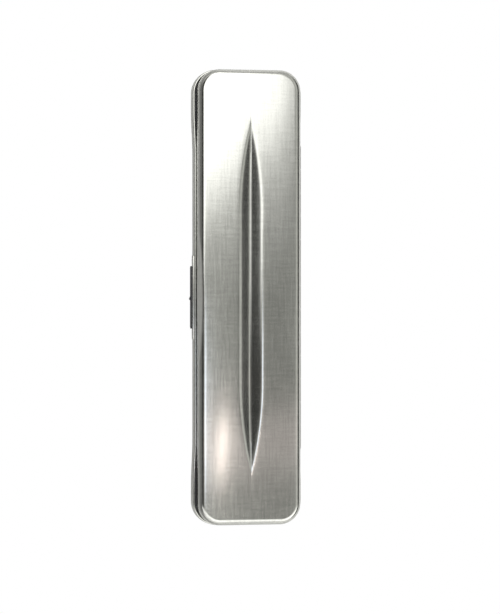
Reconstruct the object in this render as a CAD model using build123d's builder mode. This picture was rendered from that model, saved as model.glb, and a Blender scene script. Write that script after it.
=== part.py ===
"""Slim pressed-aluminium case for a pair of folded reading glasses.

Two drawn shells meet at a seam: a shallow base tray and a crowned lid with a spindle-shaped groove
pressed into its top and a thumb scoop pressed into its front edge. A knuckled hinge runs along the
back. A catch sits behind the base's front wall: a dark release bar stands off the wall outside, two
studs join it to a hook inside, and two small springs hold the hook over a keeper on the lid.

Millimetres. +X runs along the case, -Y is the front with the release bar, +Z is up. The origin is
the centre of the base's flat underside, where the closed case stands.
"""

import os
from math import atan, cos, degrees, radians, sin

from build123d import *

# ---------------------------------------------------------------------------------------------
# Driving dimensions
# ---------------------------------------------------------------------------------------------
sheet = 0.8  # aluminium of both shells
case_length = 160.0  # lid, outside
lid_width = 36.5  # lid, outside
corner_radius = 7.5  # lid, seen from above
seam_gap = 0.2  # between the two mouths when the lid is closed

base_height = 9.6  # underside to the base's mouth
bend_share = 0.625  # of that height, taken by the bend from the floor into the wall
ledge = 0.7  # how far the base stands out past the lid, front and back
end_ledge = 0.2  # the same at the two ends
corner_swell = 0.5  # extra width of the base's long sides next to the corners
swell_start = 0.625  # share of the half length where the long sides begin to swell
swell_end = 0.825
base_lip_round = 0.5

lid_wall = 3.0  # straight part of the lid's wall
lid_bend = 3.2  # radius where the lid's wall turns into its top
crown_rise = 1.0  # rise of the lid's top from its long edges to its middle
lid_lip_round = 0.3

groove_half_width = 4.06
groove_depth = 2.3
groove_straight = 29.5  # half length of the groove's parallel part
groove_end_radius = 126.0  # arcs that close the groove to a point at each end

scoop_radius = 350.0
scoop_slope = 75.0  # degrees from level
scoop_start = 1.7  # height of wall left under the middle of the scoop

# hinge along the back
hinge_half_length = 53.5
hinge_slots = 13  # knuckles along the barrel
leaf = 0.45
leaf_margin = 0.1  # leaves to the shells' bends and notches
pin_radius = 0.45
pin_play = 0.03  # radial, pin to knuckle
knuckle_wall = 0.37
knuckle_gap = 0.15  # between neighbouring knuckles, end to end
axis_offset = 0.3  # hinge axis outside the lid's back wall
barrel_clearance = 0.15  # shells to the barrel
pin_head_radius = 0.75
pin_head = 0.35
notch_end_play = 0.3  # pin head to the ends of the notch in the shells
leaf_fasteners = (12.0, 30.0, 47.0)  # distances from the middle, both ways

# catch at the front
bar_length = 22.0
bar_height = 1.9
bar_sheet = 0.45
bar_standoff = 0.6  # wall to bar at rest
bar_corner = 0.5
catch_travel = 0.55
nib_length = 2.0
nib_height = 0.4
nib_face = 0.2  # length of the nib's steep side
frame_length = 29.7
frame_sheet = 0.35
frame_margin = 0.3
frame_play = 0.12  # bar to the window in its frame
stud_radius = 0.6
stud_spacing = 15.0
stud_recess = 0.2  # studs' ends short of the guide's inner face at rest
stud_fit = 0.02  # radial, stud to the plate and clips it is fixed to
guide_play = 0.1  # radial, stud to the holes it slides in
hook_sheet = 0.45
hook_head = 0.5  # thickness of the hook's head
hook_bite = 0.3  # how far the hook reaches over the keeper's tongue
hook_half_width = 4.5
hook_plate_half_length = 9.3
hook_plate_height = 1.7
catch_play = 0.15  # between hook and keeper at rest
keeper_sheet = 0.45
keeper_tongue = 0.45  # how far the tongue sticks out from the keeper
keeper_end = 0.25  # keeper past its fasteners' heads
keeper_drop = 0.65  # keeper below the base's mouth
keeper_rise = 1.3  # keeper up the lid's wall
clip_radius = 1.1
clip_sheet = 0.25
return_wire = 0.09  # radius of the return springs' wire
return_radius = 0.85  # to the middle of the wire
return_turns = 3
return_length = 1.35
guide_sheet = 0.45
guide_foot = 4.1
guide_arm_play = 0.75  # hook plate's ends to the guide's arms
guide_under_collar = 0.05  # guide's top edge to the base inlay's collar

# fasteners: studs welded inside the shells, headed over the leaves, keeper and guide
fastener_radius = 0.5
fastener_head_radius = 0.8
fastener_head = 0.25
fastener_play = 0.03

# inlays
inlay = 0.8
inlay_gap = 0.05  # glue between an inlay and the sheet behind it
inlay_collar = 0.7  # thickness of the base inlay's collar
collar_drop = 0.15  # collar below the base's mouth
register_lip = 1.3  # base inlay above the base's mouth
register_play = 0.3  # that lip to the lid's hinge fasteners
lip_clearance = 0.4  # that lip to the lid's inlay
pocket_play = 0.25  # catch to the pocket in the base's inlay
back_play = 0.2  # lid inlay's back wall to the hinge fasteners

# ---------------------------------------------------------------------------------------------
# Derived places
# ---------------------------------------------------------------------------------------------
half_length = case_length / 2
half_width = lid_width / 2
base_bend = bend_share * base_height
lid_foot = base_height + seam_gap
crown_edge = lid_foot + lid_wall + lid_bend
lid_top = crown_edge + crown_rise

base_wall = half_width + ledge  # outside of the base's front and back walls
base_wall_inside = base_wall - sheet
lid_wall_inside = half_width - sheet

axis_y = half_width + axis_offset
axis_z = base_height + seam_gap / 2
bore_radius = pin_radius + pin_play
barrel_radius = bore_radius + knuckle_wall
notch_half_length = hinge_half_length + pin_head + notch_end_play
notch_bottom = axis_z - barrel_radius - barrel_clearance
notch_top = axis_z + barrel_radius + barrel_clearance
slot_pitch = 2 * hinge_half_length / hinge_slots
base_slots = range(0, hinge_slots, 2)
lid_slots = range(1, hinge_slots, 2)

base_leaf_top = notch_bottom - leaf_margin
base_leaf_foot = base_bend + leaf_margin
base_fastener_level = (base_leaf_top + base_leaf_foot) / 2
lid_leaf_foot = axis_z + barrel_radius - leaf
lid_leaf_top = lid_foot + lid_wall - leaf_margin
lid_fastener_level = (lid_leaf_top + lid_leaf_foot + leaf) / 2

frame_height = bar_height + 2 * (frame_play + frame_margin)
catch_level = (base_bend + base_height - base_lip_round) / 2
front = -base_wall
front_inside = -base_wall_inside
bar_back = front - bar_standoff
stud_places = [(-stud_spacing / 2, catch_level), (stud_spacing / 2, catch_level)]
collar_top = base_height - collar_drop
guide_height = 2 * (collar_top - inlay_collar - guide_under_collar - catch_level)

keeper_back = -lid_wall_inside
keeper_face = keeper_back + keeper_sheet
tongue_tip = keeper_face + keeper_tongue
tongue_foot = base_height - keeper_drop
keeper_level = lid_foot + keeper_rise / 2
keeper_fastener = hook_half_width + fastener_head_radius + catch_play
keeper_half_length = keeper_fastener + fastener_head_radius + keeper_end
hook_back = tongue_tip + catch_play
hook_face = hook_back + hook_sheet
hook_foot = tongue_foot + keeper_sheet + catch_play
clip_face = hook_face + clip_sheet
guide_back = clip_face + return_length
guide_face = guide_back + guide_sheet
stud_end = guide_face - stud_recess
guide_half_length = hook_plate_half_length + guide_arm_play + guide_sheet
guide_fastener = guide_half_length + guide_foot / 2

register_inset = sheet + leaf + fastener_head + register_play
register_top = base_height + register_lip
pocket_half_length = guide_half_length + pocket_play
pocket_depth = stud_end + catch_travel + pocket_play
lid_inlay_foot = register_top + lip_clearance
lid_inlay_inset = sheet + leaf + fastener_head + back_play / 2


def slot_middle(slot):
    """Distance along X of the middle of a knuckle."""
    return -hinge_half_length + (slot + 0.5) * slot_pitch


# ---------------------------------------------------------------------------------------------
# Shared forms
# ---------------------------------------------------------------------------------------------
def block(low, high):
    """Plain block between two opposite corners."""
    size = [b - a for a, b in zip(low, high)]
    middle = [(a + b) / 2 for a, b in zip(low, high)]
    return Pos(*middle) * Box(*size, mode=Mode.PRIVATE)


def rod(radius, x, z, start, end):
    """Round bar along Y at a place in the XZ plane, from start to end."""
    middle = (start + end) / 2
    bar = Cylinder(radius, abs(end - start), mode=Mode.PRIVATE)
    return Pos(x, middle, z) * Rot(90, 0, 0) * bar


def base_outline(inset):
    """Plan of the base, its long sides swelling slightly towards the corners."""
    end = half_length + end_ledge - inset
    middle = base_wall - inset
    swollen = middle + corner_swell
    bend = corner_radius + ledge - inset
    first = swell_start * half_length
    last = swell_end * half_length
    halfway = (first + last) / 2
    with BuildSketch() as outline:
        with BuildLine():
            Line((0, middle), (first, middle))
            Bezier((first, middle), (halfway, middle), (halfway, swollen), (last, swollen))
            Line((last, swollen), (end - bend, swollen))
            RadiusArc((end - bend, swollen), (end, swollen - bend), bend)
            Line((end, swollen - bend), (end, 0))
            mirror(about=Plane.XZ)
            mirror(about=Plane.YZ)
        make_face()
    return outline.sketch


def base_form(inset, top):
    """Solid tray form of the base: flat floor, bent edge, upright walls."""
    outline = base_outline(inset)
    with BuildPart() as form:
        with BuildSketch(Plane.XY.offset(inset)):
            add(outline)
        extrude(amount=top - inset)
        fillet(form.edges().group_by(Axis.Z)[0], base_bend - inset)
    return form.part


def tray_form(inset, floor, top, bend):
    """Solid tray form that follows the lid's plan."""
    with BuildPart() as form:
        with BuildSketch(Plane.XY.offset(floor)):
            RectangleRounded(
                2 * (half_length - inset), 2 * (half_width - inset), corner_radius - inset
            )
        extrude(amount=top - floor)
        if bend > 0:
            fillet(form.edges().group_by(Axis.Z)[0], bend)
    return form.part


def groove_form(grown):
    """Tool that presses the groove. Each side has one steady slope and the two meet in a keel."""
    flank = groove_depth / groove_half_width
    sink = grown * (1 + flank**2) ** 0.5
    reach = radians(25.0)  # arcs run on past the groove's tips
    keel_radius = groove_end_radius - groove_half_width
    far = (
        groove_straight + keel_radius * sin(reach),
        -keel_radius * (1 - cos(reach)),
    )
    with BuildPart() as side:
        with BuildSketch(Plane.XY.offset(lid_top - groove_depth - sink)):
            with BuildLine():
                Line((0, 0), (groove_straight, 0))
                RadiusArc((groove_straight, 0), far, keel_radius)
                Line(far, (far[0], -half_width))
                Line((far[0], -half_width), (0, -half_width))
                mirror(about=Plane.YZ)
            make_face()
        extrude(amount=groove_depth + sink + 1, taper=-degrees(atan(1 / flank)))
    return side.part & mirror(side.part, about=Plane.XZ)


def scoop_form(grown):
    """Cylinder that presses the thumb scoop into the lid's front edge."""
    start = Vector(0, -half_width, lid_foot + scoop_start)
    along = Vector(0, 1, 0).rotate(Axis.X, scoop_slope)
    away = Vector(0, 0, 1).rotate(Axis.X, scoop_slope)
    with BuildPart() as form:
        with BuildSketch(Plane(origin=start + away * scoop_radius, x_dir=(1, 0, 0), z_dir=along)):
            Circle(scoop_radius + grown)
        extrude(amount=lid_width / 2, both=True)
    return form.part


def lid_form(inset, foot):
    """Solid form of the lid, inset by that much from its outside, standing on foot."""
    width = half_width - inset
    edge = crown_edge - inset
    groove = groove_form(inset)
    scoop = scoop_form(inset)
    with BuildPart() as form:
        with BuildSketch(Plane.XY.offset(foot)):
            RectangleRounded(2 * (half_length - inset), 2 * width, corner_radius - inset)
        extrude(amount=lid_top + 1 - foot)
        with BuildSketch(Plane.YZ):
            with BuildLine():
                Line((-width, edge), (-width, foot))
                Line((-width, foot), (width, foot))
                Line((width, foot), (width, edge))
                ThreePointArc((width, edge), (0, lid_top - inset), (-width, edge))
            make_face()
        extrude(amount=case_length, both=True, mode=Mode.INTERSECT)
        crown = form.faces().sort_by(Axis.Z)[-1]
        fillet(crown.edges(), lid_bend - inset)
        add(scoop, mode=Mode.SUBTRACT)
        add(groove, mode=Mode.SUBTRACT)
    return form.part


def fasteners(places, wall_face, inward, thickness):
    """Headed studs along Y that start on a wall's inner face and pass through a thickness."""
    studs = []
    under_head = wall_face + inward * thickness
    for x, z in places:
        studs.append(rod(fastener_radius, x, z, wall_face, under_head))
        studs.append(
            rod(fastener_head_radius, x, z, under_head, under_head + inward * fastener_head)
        )
    return studs


def export(piece, name):
    piece.label = name
    export_step(piece, f"parts/{name}.step")


os.makedirs("parts", exist_ok=True)

leaf_places = [side * place for place in leaf_fasteners for side in (-1, 1)]

# ---------------------------------------------------------------------------------------------
# Base shell: drawn tray with a notch for the hinge and two holes for the catch's studs
# ---------------------------------------------------------------------------------------------
outside = base_form(0, base_height)
inside = base_form(sheet, base_height)
with BuildPart() as base_shell:
    add(outside)
    add(inside, mode=Mode.SUBTRACT)
    fillet(base_shell.faces().sort_by(Axis.Z)[-1].outer_wire().edges(), base_lip_round)
    add(
        block(
            (-notch_half_length, base_wall_inside - 1, notch_bottom),
            (notch_half_length, base_wall + 2, base_height + 1),
        ),
        mode=Mode.SUBTRACT,
    )
    for x, z in stud_places:
        add(rod(stud_radius + guide_play, x, z, front - 1, front_inside + 1), mode=Mode.SUBTRACT)
export(base_shell.part, "base_shell")

# ---------------------------------------------------------------------------------------------
# Base inlay: moulded tray with a collar that meets the shell, a lip that registers the closed
# lid, and a pocket that keeps glasses off the catch
# ---------------------------------------------------------------------------------------------
collar_outline = base_outline(sheet + inlay_gap)
tray = tray_form(register_inset, sheet, register_top, base_bend - sheet)
hollow = tray_form(
    register_inset + inlay, sheet + inlay, register_top + 1, base_bend - sheet - inlay
)
pocket_shell = block(
    (-pocket_half_length - inlay, -base_wall, 0),
    (pocket_half_length + inlay, pocket_depth + inlay, register_top + 1),
)
with BuildPart() as base_inlay:
    add(tray)
    with BuildSketch(Plane.XY.offset(collar_top - inlay_collar)):
        add(collar_outline)
    extrude(amount=inlay_collar)
    add(
        block(
            (-notch_half_length, half_width - register_inset, 0),
            (notch_half_length, base_wall + 2, register_top),
        ),
        mode=Mode.SUBTRACT,
    )
    add(hollow - pocket_shell, mode=Mode.SUBTRACT)
    add(
        block(
            (-pocket_half_length, -base_wall, 0),
            (pocket_half_length, pocket_depth, register_top + 1),
        ),
        mode=Mode.SUBTRACT,
    )
export(base_inlay.part, "base_inlay")

# ---------------------------------------------------------------------------------------------
# Lid shell: drawn cover with the groove and the thumb scoop pressed in
# ---------------------------------------------------------------------------------------------
outside = lid_form(0, lid_foot)
inside = lid_form(sheet, lid_foot)
with BuildPart() as lid_shell:
    add(outside)
    add(inside, mode=Mode.SUBTRACT)
    fillet(lid_shell.faces().sort_by(Axis.Z)[0].outer_wire().edges(), lid_lip_round)
    add(
        block(
            (-notch_half_length, lid_wall_inside - 1, 0),
            (notch_half_length, half_width + 1, notch_top),
        ),
        mode=Mode.SUBTRACT,
    )
export(lid_shell.part, "lid_shell")

# ---------------------------------------------------------------------------------------------
# Lid inlay: moulded skin that follows the groove and the scoop from inside
# ---------------------------------------------------------------------------------------------
outside = lid_form(sheet + inlay_gap, lid_inlay_foot)
inside = lid_form(sheet + inlay_gap + inlay, lid_inlay_foot - 1)
outer_wall = tray_form(lid_inlay_inset, lid_inlay_foot, lid_top + 1, 0)
inner_wall = tray_form(lid_inlay_inset + inlay, lid_inlay_foot - 1, lid_top + 1, 0)
with BuildPart() as lid_inlay:
    add(outside & outer_wall)
    add(inside & inner_wall, mode=Mode.SUBTRACT)
export(lid_inlay.part, "lid_inlay")


# ---------------------------------------------------------------------------------------------
# Hinge: two folded leaves whose knuckles alternate along one pin
# ---------------------------------------------------------------------------------------------
def add_knuckles(slots, tab_low, tab_high):
    """Knuckles at the given slots, each with the tab that joins it to its leaf."""
    half = slot_pitch / 2 - knuckle_gap / 2
    for slot in slots:
        middle = slot_middle(slot)
        knuckle = Cylinder(barrel_radius, 2 * half, mode=Mode.PRIVATE)
        add(Pos(middle, axis_y, axis_z) * Rot(0, 90, 0) * knuckle)
        add(block((middle - half, *tab_low), (middle + half, *tab_high)))


def add_bore():
    """Bore through the whole barrel."""
    bore = Cylinder(bore_radius, case_length, mode=Mode.PRIVATE)
    add(Pos(0, axis_y, axis_z) * Rot(0, 90, 0) * bore, mode=Mode.SUBTRACT)


leaf_half_length = hinge_half_length - knuckle_gap / 2
base_leaf_face = base_wall_inside - leaf
lid_leaf_face = lid_wall_inside - leaf
base_leaf_places = [(x, base_fastener_level) for x in leaf_places]
lid_leaf_places = [(x, lid_fastener_level) for x in leaf_places]
hole_radius = fastener_radius + fastener_play

with BuildPart() as base_leaf:
    add(
        block(
            (-leaf_half_length, base_leaf_face, base_leaf_foot),
            (leaf_half_length, base_wall_inside, base_leaf_top),
        )
    )
    add_knuckles(
        base_slots,
        (base_leaf_face, base_leaf_top),
        (base_wall_inside, axis_z),
    )
    add_bore()
    for x, z in base_leaf_places:
        add(
            rod(hole_radius, x, z, base_leaf_face - 1, base_wall_inside + 1), mode=Mode.SUBTRACT
        )
export(base_leaf.part, "hinge_leaf_base")

with BuildPart() as lid_leaf:
    add(
        block(
            (-leaf_half_length, lid_leaf_face, lid_leaf_foot),
            (leaf_half_length, lid_wall_inside, lid_leaf_top),
        )
    )
    add_knuckles(
        lid_slots,
        (lid_leaf_face, lid_leaf_foot),
        (axis_y, lid_leaf_foot + leaf),
    )
    add_bore()
    for x, z in lid_leaf_places:
        add(rod(hole_radius, x, z, lid_leaf_face - 1, lid_wall_inside + 1), mode=Mode.SUBTRACT)
export(lid_leaf.part, "hinge_leaf_lid")

with BuildPart() as hinge_pin:
    with Locations(Plane.YZ * Pos(axis_y, axis_z, 0)):
        Cylinder(pin_radius, 2 * hinge_half_length)
    for side in (-1, 1):
        with Locations(Plane.YZ * Pos(axis_y, axis_z, side * (hinge_half_length + pin_head / 2))):
            Cylinder(pin_head_radius, pin_head)
export(hinge_pin.part, "hinge_pin")

# ---------------------------------------------------------------------------------------------
# Catch: release bar outside, studs through the wall, hook and return springs inside
# ---------------------------------------------------------------------------------------------
bar_front = bar_back - bar_sheet
with BuildPart() as release_bar:
    with BuildSketch(Plane.XZ * Pos(0, catch_level, -bar_back)):
        Rectangle(bar_length, bar_height)
        chamfer(vertices(), bar_corner)
    extrude(amount=bar_sheet)
    with BuildSketch(Plane.XY.offset(catch_level)):
        with BuildLine():
            Polyline(
                (-nib_length / 2, bar_front),
                (nib_length / 2 - nib_face, bar_front - nib_height),
                (nib_length / 2, bar_front),
                close=True,
            )
        make_face()
    extrude(amount=bar_height / 2 - bar_corner / 2, both=True)
export(release_bar.part, "release_bar")

with BuildPart() as bar_frame:
    with BuildSketch(Plane.XZ * Pos(0, catch_level, -front)):
        Rectangle(frame_length, frame_height)
        fillet(vertices(), bar_corner)
        Rectangle(
            bar_length + 2 * frame_play, bar_height + 2 * frame_play, mode=Mode.SUBTRACT
        )
    extrude(amount=frame_sheet)
export(bar_frame.part, "bar_frame")

with BuildPart() as release_studs:
    for x, z in stud_places:
        add(rod(stud_radius, x, z, bar_back, stud_end))
export(release_studs.part, "release_studs")

with BuildPart() as catch_hook:
    plate_foot = catch_level - hook_plate_height / 2
    plate_top = catch_level + hook_plate_height / 2
    add(
        block(
            (-hook_plate_half_length, hook_back, plate_foot),
            (hook_plate_half_length, hook_face, plate_top),
        )
    )
    add(
        block(
            (-hook_half_width, hook_back, catch_level),
            (hook_half_width, hook_face, hook_foot + hook_head),
        )
    )
    with BuildSketch(Plane.YZ):
        with BuildLine():
            Polyline(
                (hook_back, hook_foot),
                (tongue_tip - hook_bite, hook_foot),
                (hook_back, hook_foot + hook_head),
                close=True,
            )
        make_face()
    extrude(amount=hook_half_width, both=True)
    for x, z in stud_places:
        add(rod(stud_radius + stud_fit, x, z, hook_back - 1, hook_face + 1), mode=Mode.SUBTRACT)
export(catch_hook.part, "catch_hook")

with BuildPart() as stud_clips:
    for x, z in stud_places:
        add(rod(clip_radius, x, z, hook_face, clip_face))
        add(rod(stud_radius + stud_fit, x, z, hook_face - 1, clip_face + 1), mode=Mode.SUBTRACT)
export(stud_clips.part, "stud_clips")

coil_length = return_length - 2 * return_wire
for name, (x, z) in zip(("return_spring_left", "return_spring_right"), stud_places):
    with BuildPart() as return_spring:
        with BuildLine() as coil:
            Helix(coil_length / return_turns, coil_length, return_radius)
        with BuildSketch(Plane(origin=coil.line @ 0, z_dir=coil.line % 0)):
            Circle(return_wire)
        sweep(is_frenet=True)
    placed = Pos(x, clip_face + return_wire, z) * Rot(-90, 0, 0) * return_spring.part
    export(placed, name)

with BuildPart() as catch_guide:
    with BuildSketch(Plane.XY.offset(catch_level - guide_height / 2)):
        with BuildLine():
            arm = guide_half_length
            Polyline(
                (0, guide_face),
                (arm, guide_face),
                (arm, front_inside + guide_sheet),
                (arm + guide_foot, front_inside + guide_sheet),
                (arm + guide_foot, front_inside),
                (arm - guide_sheet, front_inside),
                (arm - guide_sheet, guide_back),
                (0, guide_back),
            )
            mirror(about=Plane.YZ)
        make_face()
    extrude(amount=guide_height)
    for x, z in stud_places:
        add(rod(stud_radius + guide_play, x, z, guide_back - 1, guide_face + 1), mode=Mode.SUBTRACT)
    for x in (-guide_fastener, guide_fastener):
        add(
            rod(hole_radius, x, catch_level, front_inside - 1, front_inside + 1),
            mode=Mode.SUBTRACT,
        )
export(catch_guide.part, "catch_guide")

with BuildPart() as lid_keeper:
    keeper_top = lid_foot + keeper_rise
    add(
        block(
            (-keeper_half_length, keeper_back, tongue_foot),
            (keeper_half_length, keeper_face, keeper_top),
        )
    )
    add(
        block(
            (-keeper_half_length, keeper_back, tongue_foot),
            (keeper_half_length, tongue_tip, tongue_foot + keeper_sheet),
        )
    )
    keeper_places = [(side * keeper_fastener, keeper_level) for side in (-1, 1)]
    for x, z in keeper_places:
        add(rod(hole_radius, x, z, keeper_back - 1, keeper_face + 1), mode=Mode.SUBTRACT)
export(lid_keeper.part, "lid_keeper")

# ---------------------------------------------------------------------------------------------
# Fasteners
# ---------------------------------------------------------------------------------------------
guide_places = [(x, catch_level) for x in (-guide_fastener, guide_fastener)]
for name, places, wall_face, inward, thickness in (
    ("base_leaf_fasteners", base_leaf_places, base_wall_inside, -1, leaf),
    ("lid_leaf_fasteners", lid_leaf_places, lid_wall_inside, -1, leaf),
    ("guide_fasteners", guide_places, front_inside, 1, guide_sheet),
    ("keeper_fasteners", keeper_places, keeper_back, 1, keeper_sheet),
):
    with BuildPart() as headed_studs:
        for stud in fasteners(places, wall_face, inward, thickness):
            add(stud)
    export(headed_studs.part, name)
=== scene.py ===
import math

import bmesh
import bpy
from mathutils import Matrix, Vector


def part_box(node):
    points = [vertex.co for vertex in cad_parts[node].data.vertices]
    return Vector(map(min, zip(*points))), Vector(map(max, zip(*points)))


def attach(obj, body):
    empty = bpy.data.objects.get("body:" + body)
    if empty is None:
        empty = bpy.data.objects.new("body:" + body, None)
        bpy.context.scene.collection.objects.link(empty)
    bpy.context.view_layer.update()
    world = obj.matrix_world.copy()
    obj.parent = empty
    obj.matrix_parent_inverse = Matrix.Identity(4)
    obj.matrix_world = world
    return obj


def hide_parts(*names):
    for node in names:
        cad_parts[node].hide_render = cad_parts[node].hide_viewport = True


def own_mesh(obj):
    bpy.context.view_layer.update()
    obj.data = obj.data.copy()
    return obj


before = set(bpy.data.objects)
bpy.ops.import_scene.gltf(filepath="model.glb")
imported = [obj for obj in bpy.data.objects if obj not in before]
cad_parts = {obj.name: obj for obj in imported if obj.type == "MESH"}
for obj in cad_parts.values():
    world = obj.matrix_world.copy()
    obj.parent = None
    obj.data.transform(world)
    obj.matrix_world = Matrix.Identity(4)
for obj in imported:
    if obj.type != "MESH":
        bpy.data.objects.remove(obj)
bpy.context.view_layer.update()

# ---------------------------------------------------------------------------------------------
# Base shell. A shallow tray drawn from 0.8 mm aluminium and finely brushed lengthwise. Its mouth
# is rolled over, its long sides swell a little towards the corners, and a notch in the back wall
# takes the hinge.
# ---------------------------------------------------------------------------------------------
MM = 0.001
SHEET = 0.8
LEDGE = 0.7
CORNER = 7.5
_, base_high = (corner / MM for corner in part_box("base_shell"))
lid_low, lid_high = (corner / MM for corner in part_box("lid_shell"))
leaf_low, leaf_high = (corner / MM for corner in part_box("hinge_leaf_base"))
pin_low, pin_high = (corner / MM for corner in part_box("hinge_pin"))
HALF_LENGTH = lid_high.x
HALF_WIDTH = lid_high.y
BASE_TOP = base_high.z
BASE_BEND = 6.0
SWELL = base_high.y - HALF_WIDTH - LEDGE
SWELL_START = 0.625
SWELL_RUN = 0.2
PIN_Y = (pin_low.y + pin_high.y) / 2
PIN_Z = (pin_low.z + pin_high.z) / 2
BARREL = leaf_high.z - PIN_Z
NOTCH_PLAY = 0.3
NOTCH_ROOM = 0.15
NOTCH = pin_high.x + NOTCH_PLAY
CORNER_LINES = 7
SHEET_SEAM = 0.01
CUT_SEAM = 0.003 * MM


def smooth_step(t):
    t = min(max(t, 0.0), 1.0)
    return t * t * (3 - 2 * t)


def swell(x):
    """Extra half width of the base next to its corners."""
    share = abs(x) / HALF_LENGTH
    return SWELL * smooth_step((share - SWELL_START) / SWELL_RUN)


class Plan:
    """A rounded rectangle seen from above, and the grid of lines that a pressed sheet follows."""

    def __init__(self, half_x, half_y, radius, lines_x, lines_y, bulge=None):
        self.half = (half_x, half_y)
        self.radius = radius
        self.count = (lines_x, lines_y)
        self.bulge = bulge or (lambda x: 0.0)

    def side(self, step, count, half):
        """Place along a side: the straight part, and the turn of the corner beyond it."""
        straight = half - self.radius
        if step < CORNER_LINES:
            return -straight, (1 - step / CORNER_LINES) * math.pi / 4
        if step > count - CORNER_LINES:
            return straight, (1 - (count - step) / CORNER_LINES) * math.pi / 4
        share = (step - CORNER_LINES) / (count - 2 * CORNER_LINES)
        return -straight + 2 * straight * share, 0.0

    def rim(self, i, j, inset):
        """Place of the outline's point on grid lines i and j, moved in by inset."""
        reach = self.radius - inset
        if j in (0, self.count[1]):
            x, turn = self.side(i, self.count[0], self.half[0])
            way = -1 if j == 0 else 1
            y = way * (self.half[1] - self.radius + reach * math.cos(turn))
            x += math.copysign(reach * math.sin(turn), x)
        else:
            y, turn = self.side(j, self.count[1], self.half[1])
            way = -1 if i == 0 else 1
            x = way * (self.half[0] - self.radius + reach * math.cos(turn))
            y += math.copysign(reach * math.sin(turn), y)
        towards_side = min(1.0, abs(y) / (self.half[1] - self.radius))
        return x, y + math.copysign(self.bulge(x), y) * towards_side

    def inner(self, i, j, inset):
        """Place of grid point i, j inside the outline moved in by inset."""
        u, v = i / self.count[0], j / self.count[1]
        left, right = self.rim(0, j, inset), self.rim(self.count[0], j, inset)
        near, far = self.rim(i, 0, inset), self.rim(i, self.count[1], inset)
        corners = [
            self.rim(a * self.count[0], b * self.count[1], inset) for a in (0, 1) for b in (0, 1)
        ]
        place = []
        for k in (0, 1):
            sides = (1 - u) * left[k] + u * right[k] + (1 - v) * near[k] + v * far[k]
            shared = (
                (1 - u) * (1 - v) * corners[0][k]
                + (1 - u) * v * corners[1][k]
                + u * (1 - v) * corners[2][k]
                + u * v * corners[3][k]
            )
            place.append(sides - shared)
        return place


def pressed_sheet(plan, inset, height, profile, back_inset, back_height):
    """A drawn shell: a grid for the outer face, its edge extruded along the profile round the
    mouth, and a second grid that closes the inside."""
    bm = bmesh.new()
    line_i = bm.verts.layers.int.new("line_i")
    line_j = bm.verts.layers.int.new("line_j")

    def lay_grid(moved_in, level):
        before = set(bm.verts)
        bmesh.ops.create_grid(
            bm, x_segments=plan.count[0], y_segments=plan.count[1], size=1.0
        )
        fresh = [v for v in bm.verts if v not in before]
        for v in fresh:
            v[line_i] = round((v.co.x + 1) / 2 * plan.count[0])
            v[line_j] = round((v.co.y + 1) / 2 * plan.count[1])
            x, y = plan.inner(v[line_i], v[line_j], moved_in)
            v.co = level(x, y)
        return fresh

    lay_grid(inset, height)
    edges = [e for e in bm.edges if e.is_boundary]
    for place in profile:
        made = bmesh.ops.extrude_edge_only(bm, edges=edges)["geom"]
        fresh = {v for v in made if isinstance(v, bmesh.types.BMVert)}
        edges = [
            e for e in made
            if isinstance(e, bmesh.types.BMEdge) and all(v in fresh for v in e.verts)
        ]
        for v in fresh:
            v.co = place(plan, v[line_i], v[line_j])
    lay_grid(back_inset, back_height)
    bmesh.ops.remove_doubles(bm, verts=bm.verts, dist=SHEET_SEAM)
    bmesh.ops.recalc_face_normals(bm, faces=bm.faces)
    return bm


def ring(inset, level):
    """One step of a profile: the outline moved in by inset, at a level that may depend on place."""

    def place(plan, i, j):
        x, y = plan.rim(i, j, inset)
        return Vector((x, y, level(x, y) if callable(level) else level))

    return place


def finished(name, bm, material, smooth_angle=40.0):
    """Turns a bmesh in millimetres into a named object in metres."""
    bmesh.ops.scale(bm, vec=(MM, MM, MM), verts=bm.verts)
    mesh = bpy.data.meshes.new(name)
    bm.to_mesh(mesh)
    bm.free()
    mesh.materials.append(material)
    mesh.shade_smooth()
    mesh.set_sharp_from_angle(angle=math.radians(smooth_angle))
    piece = bpy.data.objects.new(name, mesh)
    bpy.context.scene.collection.objects.link(piece)
    return piece


def block(bm, low, high, round_edges=0.0):
    """A plain block between two corners, its edges rounded."""
    low, high = Vector(low), Vector(high)
    size = high - low
    middle = (low + high) / 2
    made = bmesh.ops.create_cube(
        bm, size=1.0, matrix=Matrix.Translation(middle) @ Matrix.Diagonal((*size, 1.0))
    )["verts"]
    if round_edges > 0:
        edges = list({e for v in made for e in v.link_edges})
        bmesh.ops.bevel(
            bm, geom=edges, offset=round_edges, segments=2, profile=0.5,
            affect="EDGES", material=-1, clamp_overlap=True,
        )


def cut(piece, operation, cutter):
    """Cuts a piece with, or joins it to, a block given as a bmesh in millimetres."""
    bmesh.ops.scale(cutter, vec=(MM, MM, MM), verts=cutter.verts)
    mesh = bpy.data.meshes.new("cutter")
    cutter.to_mesh(mesh)
    cutter.free()
    tool = bpy.data.objects.new("cutter", mesh)
    bpy.context.scene.collection.objects.link(tool)
    step = piece.modifiers.new("cut", "BOOLEAN")
    step.operation = operation
    step.solver = "EXACT"
    step.object = tool
    bpy.context.view_layer.update()
    made = bpy.data.meshes.new_from_object(
        piece.evaluated_get(bpy.context.evaluated_depsgraph_get())
    )
    merged = bmesh.new()
    merged.from_mesh(made)
    bmesh.ops.remove_doubles(merged, verts=merged.verts, dist=CUT_SEAM)
    bmesh.ops.dissolve_degenerate(merged, edges=merged.edges, dist=CUT_SEAM)
    merged.to_mesh(made)
    merged.free()
    piece.modifiers.clear()
    old = piece.data
    made.name = old.name
    piece.data = made
    bpy.data.meshes.remove(old)
    bpy.data.objects.remove(tool)


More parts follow.
